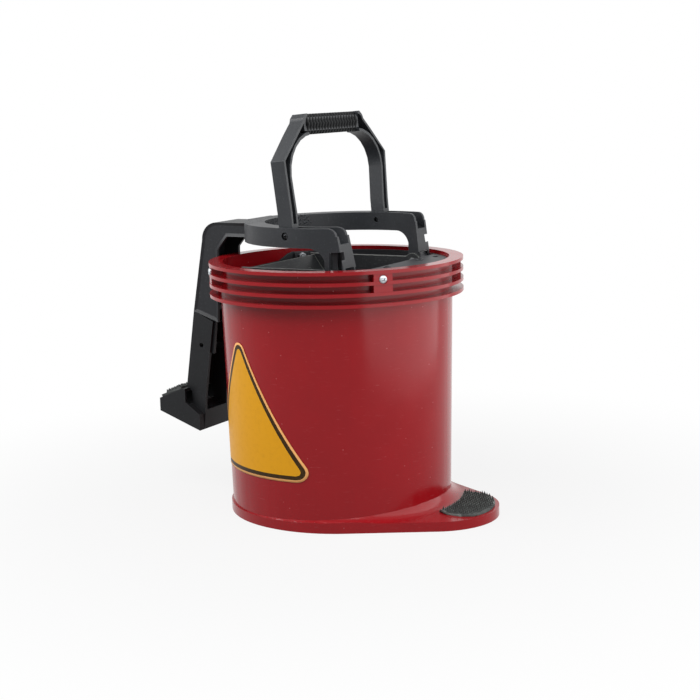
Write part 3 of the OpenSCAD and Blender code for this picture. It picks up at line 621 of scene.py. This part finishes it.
# the outer band is the pale edge, the next the dark border, and the rest the yellow
for level, band in enumerate(bands(shape, rows)):
    for face in band:
        face.material_index = min(level, 2)
for k in range(outline_count):
    last = shape.faces.new((rows[-1][k], rows[-1][(k + 1) % outline_count], centre))
    last.material_index = 2
shape.normal_update()
if sum(f.calc_center_median().to_2d().dot(f.normal.to_2d()) for f in shape.faces) < 0:
    bmesh.ops.reverse_faces(shape, faces=shape.faces)
vinyls = [printed_vinyl("pale vinyl edge", "#d49a5e", "#bf8658", rough=0.42),
          printed_vinyl("dark printed border", "#2b1c06", "#553c10", rough=0.42),
          printed_vinyl("yellow vinyl", "#c48a14", "#b37c18", rough=0.4)]
sticker = bpy.data.objects.new("sticker_film", smooth_mesh(shape, "sticker_film", vinyls))
film = sticker.modifiers.new("film thickness", "SOLIDIFY")
film.thickness = film_thick * MM
film.offset = -1
fit_piece(sticker, "side_sticker")

# ---------------------------------------------------------------------------
# Ring: the band of black polypropylene that drops into the bucket's rim and
# carries the wringer. Four zinc-plated pan-head screws hold it, each in a hex nut.
dip_start = 146
dip_run = 9
dip_share = 0.85


def filled_plastic(name, colour, pale, rough, level=0.28, edge_wear_and_highlight=0.3, pimple_box=None):
    """Injection-moulded nylon or polypropylene with mineral filler: a satin sheen broken by
    an eroded grain, pale specks of filler at the surface, and paler edges that are partly
    worn by handling and partly a painted highlight. A pimple box holds the part of the
    piece that has moulded pimples."""
    material, tree = blank(name)
    place = add(tree, "ShaderNodeTexCoord").outputs["Object"]
    # clouds of about 22 mm
    cloud = add(tree, "ShaderNodeTexNoise",
                {"Vector": place, "Scale": 1 / (22 * MM), "Detail": 4.0}).outputs["Fac"]
    depth = add(tree, "ShaderNodeMapRange",
                {"Value": cloud, "To Min": 0.84, "To Max": 1.16}).outputs["Result"]
    base = add(tree, "ShaderNodeVectorMath", {0: linear(colour)[:3], "Scale": depth},
               operation="SCALE").outputs[0]
    # filler specks of about 1 mm
    speck = add(tree, "ShaderNodeTexNoise", {"Vector": place, "Scale": 1 / (1.6 * MM),
                                             "Detail": 2.0, "Roughness": 0.7}).outputs["Fac"]
    mark = add(tree, "ShaderNodeMapRange", {"Value": speck, "From Min": 0.6, "From Max": 0.75,
                                            "To Min": 0.0, "To Max": 0.4}).outputs["Result"]
    # wear and painted highlight: edges turn paler where the rounded normal leaves the flat one
    bare = add(tree, "ShaderNodeNewGeometry").outputs["Normal"]
    soft = add(tree, "ShaderNodeBevel", {"Radius": 1.2 * MM}, samples=4).outputs[0]
    lean = add(tree, "ShaderNodeVectorMath", {0: bare, 1: soft},
               operation="DOT_PRODUCT").outputs["Value"]
    rubbed = add(tree, "ShaderNodeMapRange", {"Value": lean, "From Min": 0.9, "From Max": 1.0,
                                              "To Min": edge_wear_and_highlight, "To Max": 0.0}).outputs["Result"]
    worn = add(tree, "ShaderNodeMath", {0: rubbed, 1: mark}, operation="ADD").outputs[0]
    # eroded grain, drawn at 0.8 mm because the real 0.1 mm is too fine to show
    grain = add(tree, "ShaderNodeTexNoise",
                {"Vector": place, "Scale": 1 / (0.8 * MM), "Detail": 2.0}).outputs["Fac"]
    relief = add(tree, "ShaderNodeBump",
                 {"Height": grain, "Strength": 0.25, "Distance": 0.2 * MM}).outputs[0]
    if pimple_box:
        # moulded pimples, 3 mm apart, that fade out over 4 mm at the box's sides
        low, high = pimple_box
        split = add(tree, "ShaderNodeSeparateXYZ", {0: place})
        inside = 1.0
        for axis in range(3):
            for side, run in ((low[axis], 4 * MM), (high[axis], -4 * MM)):
                near = add(tree, "ShaderNodeMapRange", {
                    "Value": split.outputs[axis], "From Min": side,
                    "From Max": side + run}).outputs["Result"]
                inside = add(tree, "ShaderNodeMath", {0: inside, 1: near},
                             operation="MULTIPLY").outputs[0]
        dot = add(tree, "ShaderNodeTexVoronoi",
                  {"Vector": place, "Scale": 1 / (3 * MM), "Randomness": 0.8})
        raised = add(tree, "ShaderNodeMapRange", {
            "Value": dot.outputs["Distance"], "From Min": 0.15, "From Max": 0.5,
            "To Min": 1.0, "To Max": 0.0}).outputs["Result"]
        raised = add(tree, "ShaderNodeMath", {0: raised, 1: inside},
                     operation="MULTIPLY").outputs[0]
        relief = add(tree, "ShaderNodeBump", {"Height": raised, "Strength": 1.0,
                                              "Distance": 0.9 * MM, "Normal": relief}).outputs[0]
        # their tips are rubbed pale
        worn = add(tree, "ShaderNodeMath", {0: raised, 1: 0.45, 2: worn},
                   operation="MULTIPLY_ADD").outputs[0]
    # the pale marks: filler specks, worn pimple tips, worn edges and the painted edge highlight
    tint = add(tree, "ShaderNodeMix", {"Factor": worn, "A": base, "B": linear(pale)[:3]},
               data_type="VECTOR")
    sheen = add(tree, "ShaderNodeMapRange", {"Value": cloud, "To Min": rough - 0.05,
                                             "To Max": rough + 0.07}).outputs["Result"]
    surface = add(tree, "ShaderNodeBsdfPrincipled", {
        "Base Color": tint.outputs["Result"], "Roughness": sheen, "Normal": relief,
        "IOR": 1.53, "Specular IOR Level": level})
    add(tree, "ShaderNodeOutputMaterial", {"Surface": surface.outputs[0]})
    return material


def plated_steel(name, colour, dull, rough):
    """Zinc-plated or blackened steel: a bright satin metal, blotched by the passivation and
    scratched round the recess by the driver."""
    material, tree = blank(name)
    place = add(tree, "ShaderNodeTexCoord").outputs["Object"]
    # blotches of about 3 mm
    blotch = add(tree, "ShaderNodeTexNoise",
                 {"Vector": place, "Scale": 1 / (3 * MM), "Detail": 4.0}).outputs["Fac"]
    dulled = add(tree, "ShaderNodeMapRange", {"Value": blotch, "From Min": 0.4, "From Max": 0.7,
                                              "To Min": 0.0, "To Max": 0.8}).outputs["Result"]
    tint = add(tree, "ShaderNodeMix", {"Factor": dulled, "A": linear(colour)[:3],
                                       "B": linear(dull)[:3]}, data_type="VECTOR")
    sheen = add(tree, "ShaderNodeMapRange",
                {"Value": blotch, "To Min": rough, "To Max": rough + 0.2}).outputs["Result"]
    # scratches, drawn at 0.5 mm because the real ones are too fine to show
    scratch = add(tree, "ShaderNodeTexNoise",
                  {"Vector": place, "Scale": 1 / (0.5 * MM), "Detail": 3.0}).outputs["Fac"]
    relief = add(tree, "ShaderNodeBump",
                 {"Height": scratch, "Strength": 0.15, "Distance": 0.1 * MM})
    surface = add(tree, "ShaderNodeBsdfPrincipled", {
        "Base Color": tint.outputs["Result"], "Roughness": sheen, "Normal": relief.outputs[0],
        "Metallic": 1.0})
    add(tree, "ShaderNodeOutputMaterial", {"Surface": surface.outputs[0]})
    return material


def loose_parts(node):
    """The vertices of each separate solid of a CAD node."""
    shape = merged_copy(node)
    left = set(shape.verts)
    groups = []
    while left:
        group = set()
        todo = [left.pop()]
        while todo:
            vert = todo.pop()
            group.add(vert)
            for edge in vert.link_edges:
                other = edge.other_vert(vert)
                if other in left:
                    left.discard(other)
                    todo.append(other)
        groups.append([v.co.copy() for v in group])
    shape.free()
    return sorted(groups, key=lambda g: tuple(round(v, 4) for v in sum(g, Vector()) / len(g)))


def cross_screw_mesh(head, tall, shank, length, sides=28):
    """Pan-head screw with a cross recess, from the radius and height of its head, the radius
    of its shank and its whole length. The top of its head is at the origin, facing +Z."""
    shape = bmesh.new()

    def ring(radius, z):
        return [shape.verts.new((radius * math.cos(math.tau * k / sides),
                                 radius * math.sin(math.tau * k / sides), z))
                for k in range(sides)]

    crown = [ring(head * math.sin(a), -tall * 0.85 * (1 - math.cos(a)))
             for a in (0.62, 0.8, 0.98, 1.16, 1.35, math.pi / 2)]
    skirt = [ring(head, -tall), ring(shank, -tall - 0.01 * MM), ring(shank, -length + shank),
             ring(shank * 0.6, -length)]
    bands(shape, crown + skirt)
    shape.faces.new(list(reversed(skirt[-1])))
    # the recess: four arms and the corners between them, tapering downwards
    level = crown[0][0].co.z * 0.5
    arm, half = head * 0.5, head * 0.13
    corners = []
    for c, s in ((1, 0), (0, 1), (-1, 0), (0, -1)):
        corners += [(arm * c + half * s, arm * s - half * c),
                    (arm * c - half * s, arm * s + half * c),
                    (half * c - half * s, half * s + half * c)]
    lip = [shape.verts.new((x, y, level)) for x, y in corners]
    foot = [shape.verts.new((x * 0.62, y * 0.62, level - tall * 0.75)) for x, y in corners]
    bands(shape, [lip, foot])
    shape.faces.new(foot)
    open_edges = [shape.edges.get((loop[k], loop[(k + 1) % len(loop)]))
                  for loop in (crown[0], lip) for k in range(len(loop))]
    bmesh.ops.triangle_fill(shape, edges=open_edges, use_beauty=True)
    bmesh.ops.recalc_face_normals(shape, faces=shape.faces)
    return smooth_mesh(shape, "cross recess screw", sharp=35)


def screws(node, way_of, material):
    """Cross-recess screws in place of a CAD node's plain ones, each along its own way out."""
    places = []
    for points in loose_parts(node):
        low = Vector([min(p[i] for p in points) for i in range(3)])
        high = Vector([max(p[i] for p in points) for i in range(3)])
        middle = (low + high) / 2
        way = way_of(middle).normalized()
        far = max(p.dot(way) for p in points)
        near = min(p.dot(way) for p in points)
        axis_point = middle - way * middle.dot(way)
        distance = [((p - axis_point) - way * (p - axis_point).dot(way)).length for p in points]
        head = max(distance)
        shank = min(d for d in distance if d > 0.3 * MM)
        seat = min(p.dot(way) for p, d in zip(points, distance) if d > head - 0.05 * MM)
        places.append((axis_point + way * far, way))
        # a node's screws are alike, so one size is right for all of them
        size = (head, far - seat, shank, far - near)
    mesh = repeated(node + "_screws", cross_screw_mesh(*size), places, material)
    mesh.materials.clear()
    mesh.materials.append(material)
    fit_piece(bpy.data.objects.new(node + "_cross_screws", mesh), node)


ring_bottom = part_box("wringer_ring")[0][2]
band_top = max(v.co.z for v in frame["nodes"]["wringer_ring"].data.vertices
               if v.co.x < -100 * MM)


def dipped_band(point):
    """The band dips between its two rear screws, under the rear arm."""
    turn = abs(math.degrees(math.atan2(point.y, point.x)))
    share = min(max((turn - dip_start) / dip_run, 0), 1) * dip_share
    if point.z > band_top - 1 * MM:
        point.z -= (band_top - ring_bottom) * share
    return point


ring_black = filled_plastic("black polypropylene", "#212225", "#505255", rough=0.44)
zinc = plated_steel("zinc-plated steel", "#c6cace", "#7d8084", rough=0.3)
moulded("wringer_ring", ring_black, edge=0.7, trim=dipped_band)
screws("ring_screws", lambda p: Vector((p.x, p.y, 0)), zinc)
moulded("ring_nuts", zinc, edge=0.3)

# ---------------------------------------------------------------------------
# Fixed jaw: a drained guide plate between two cheeks, moulded in one in black
# polypropylene and screwed under the ring, with a grey roller on a steel axle.


def drawn_steel(name, colour, rough):
    """Bright drawn bar: fine lines run along its length and dull its shine."""
    material, tree = blank(name)
    place = add(tree, "ShaderNodeTexCoord").outputs["Object"]
    # lines 40 mm long, drawn 0.6 mm wide because the real ones are too fine to show
    lines = add(tree, "ShaderNodeMapping",
                {"Vector": place, "Scale": (1 / (0.6 * MM), 1 / (40 * MM), 1 / (0.6 * MM))})
    drawn = add(tree, "ShaderNodeTexNoise",
                {"Vector": lines.outputs[0], "Scale": 1.0, "Detail": 3.0}).outputs["Fac"]
    relief = add(tree, "ShaderNodeBump", {"Height": drawn, "Strength": 0.2, "Distance": 0.1 * MM})
    depth = add(tree, "ShaderNodeMapRange",
                {"Value": drawn, "To Min": 0.85, "To Max": 1.1}).outputs["Result"]
    tint = add(tree, "ShaderNodeVectorMath", {0: linear(colour)[:3], "Scale": depth},
               operation="SCALE").outputs[0]
    sheen = add(tree, "ShaderNodeMapRange",
                {"Value": drawn, "To Min": rough, "To Max": rough + 0.15}).outputs["Result"]
    surface = add(tree, "ShaderNodeBsdfPrincipled", {
        "Base Color": tint, "Roughness": sheen, "Normal": relief.outputs[0], "Metallic": 1.0})
    add(tree, "ShaderNodeOutputMaterial", {"Surface": surface.outputs[0]})
    return material


# the jaw plates' edges are drawn strongly pale grey: mostly a painted highlight for the lit lines
# along their tops, with a little wear
jaw_black_highlit = filled_plastic("black jaw polypropylene, painted edge highlight", "#1b1c1e", "#8a8d88", rough=0.42,
                           edge_wear_and_highlight=0.85)
roller_grey = filled_plastic("grey polypropylene roller", "#6d7073", "#9a9da0", rough=0.42)
steel_bar = drawn_steel("drawn steel bar", "#b9bcc0", rough=0.22)
black_steel = plated_steel("blackened steel", "#3a3b3d", "#1c1d1e", rough=0.35)
moulded("fixed_jaw", jaw_black_highlit, edge=0.6)
screws("jaw_screws", lambda p: Vector((0, 0, 1)), black_steel)
moulded("fixed_axle", steel_bar, edge=0.5)
moulded("fixed_roller", roller_grey, edge=1.0)

# ---------------------------------------------------------------------------
# Moving jaw: the same plate and roller, hung from the yoke's claws on two steel
# pins, so that it closes as the pedal goes down and opens as it rises.
moulded("moving_jaw", jaw_black_highlit, edge=0.6)
moulded("moving_axle", steel_bar, edge=0.5)
moulded("moving_roller", roller_grey, edge=1.0)
moulded("hinge_pin_near", steel_bar, edge=0.5)
moulded("hinge_pin_far", steel_bar, edge=0.5)

# ---------------------------------------------------------------------------
# Yoke: the channelled horseshoe of glass-filled nylon that ends in two claws
# and carries the handle and the rear arm. Its bend is pimpled on top for a wet
# foot or hand.
pimple_reach = 42
pimple_depth = 14
clear_of_yoke = 20
yoke_low, yoke_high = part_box("yoke")
pimples = ((yoke_low[0] - clear_of_yoke * MM, yoke_low[1] - clear_of_yoke * MM,
            yoke_high[2] - pimple_depth * MM),
           (yoke_low[0] + pimple_reach * MM, yoke_high[1] + clear_of_yoke * MM,
            yoke_high[2] + clear_of_yoke * MM))
yoke_nylon = filled_plastic("black glass-filled nylon, pimpled", "#1f2124", "#505256", rough=0.42,
                          level=0.22, pimple_box=pimples)
moulded("yoke", yoke_nylon, edge=0.9)

# ---------------------------------------------------------------------------
# Rear arm and pedal lever: the hollow moulding that two screws clamp on the
# yoke's bend, and the lever that one bolt holds in it, both of filled nylon.
cheek_border = 3.6
cheek_sink = 2.0
rear_nylon = filled_plastic("black glass-filled nylon, rear arm", "#1d1e21", "#4c4f52",
                          rough=0.42, level=0.2)
lever_nylon = filled_plastic("black lever nylon", "#151618", "#3a3c3f", rough=0.44, level=0.18)
moulded("rear_arm", rear_nylon, edge=0.5, panel=(cheek_border, cheek_sink))
screws("arm_screws", lambda p: Vector((-1, 0, 0)), black_steel)
moulded("pedal_lever", lever_nylon, edge=0.8)
screws("lever_bolt", lambda p: Vector((0, -1, 0)), black_steel)

# ---------------------------------------------------------------------------
# Pedal tread: a rubber pad with pointed studs, moulded in one and pressed into
# the pedal's toe.
tread_rubber = moulded_rubber("black tread rubber", "#242626", "#434644")
studded_pad("pedal_tread", tread_rubber, tread_rubber, stud=(2.0, 4.0),
            pitch=5.6, margin=2.0, seed=5)

# ---------------------------------------------------------------------------
# Carry handle: a channelled bail of filled nylon with a ribbed grip clipped
# over its bar. It swings on two black screws through the yoke's cheeks.
grip_ribs = 18
grip_tall = 11.6
grip_wide = 8.6
groove_depth = 1.3
rib_share = 0.36
handle_lean = math.radians(4.5)


def grip_slice(wide, tall, thick):
    """One slice of the six-sided grip: flat on top, widest at its middle, narrow below."""
    outline = [(wide, 0), (wide * 0.92, tall * 0.12), (wide * 0.5, tall * 0.92),
               (wide * 0.36, tall), (-wide * 0.36, tall), (-wide * 0.5, tall * 0.92),
               (-wide * 0.92, tall * 0.12), (-wide, 0), (-wide * 0.8, -tall * 0.4),
               (-wide * 0.4, -tall), (wide * 0.4, -tall), (wide * 0.8, -tall * 0.4)]
    # the slice's two rims are rounded
    rounding = ((-1, 0.86), (-0.6, 0.98), (0, 1.0), (0.6, 0.98), (1, 0.86))
    shape = bmesh.new()
    rows = [[shape.verts.new((x * share * MM, thick * side * MM, z * share * MM))
             for x, z in outline] for side, share in rounding]
    bands(shape, rows)
    shape.faces.new(rows[0])
    shape.faces.new(list(reversed(rows[-1])))
    bmesh.ops.recalc_face_normals(shape, faces=shape.faces)
    return smooth_mesh(shape, "grip slice")


handle_nylon = filled_plastic("black glass-filled nylon", "#222427", "#55585b", rough=0.42)
grip_nylon = filled_plastic("black grip polypropylene", "#0f1011", "#1e1f21", rough=0.42,
                          level=0.08)
moulded("carry_handle", handle_nylon, edge=0.9)
grip_low, grip_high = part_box("handle_grip")
grip_middle = (Vector(grip_low) + Vector(grip_high)) / 2
grip_up = Vector((-math.sin(handle_lean), 0, math.cos(handle_lean)))
grip_length = (grip_high[1] - grip_low[1]) / MM
rib_pitch = grip_length / grip_ribs
rib_places = [(grip_middle + Vector((0, (k - (grip_ribs - 1) / 2) * rib_pitch * MM, 0)), grip_up)
              for k in range(grip_ribs)]
rib = grip_slice(grip_wide, grip_tall, rib_pitch * rib_share)
core = grip_slice(grip_wide - groove_depth, grip_tall - groove_depth, grip_length / 2)
shape = bmesh.new()
shape.from_mesh(repeated("grip_ribs", rib, rib_places, grip_nylon))
shape.from_mesh(repeated("grip_core", core, [(grip_middle, grip_up)], grip_nylon))
grip = bpy.data.objects.new("ribbed_grip", smooth_mesh(shape, "grip", [grip_nylon], sharp=32))
fit_piece(grip, "handle_grip")
screws("handle_pivot_near", lambda p: Vector((0, -1, 0)), black_steel)
screws("handle_pivot_far", lambda p: Vector((0, 1, 0)), black_steel)
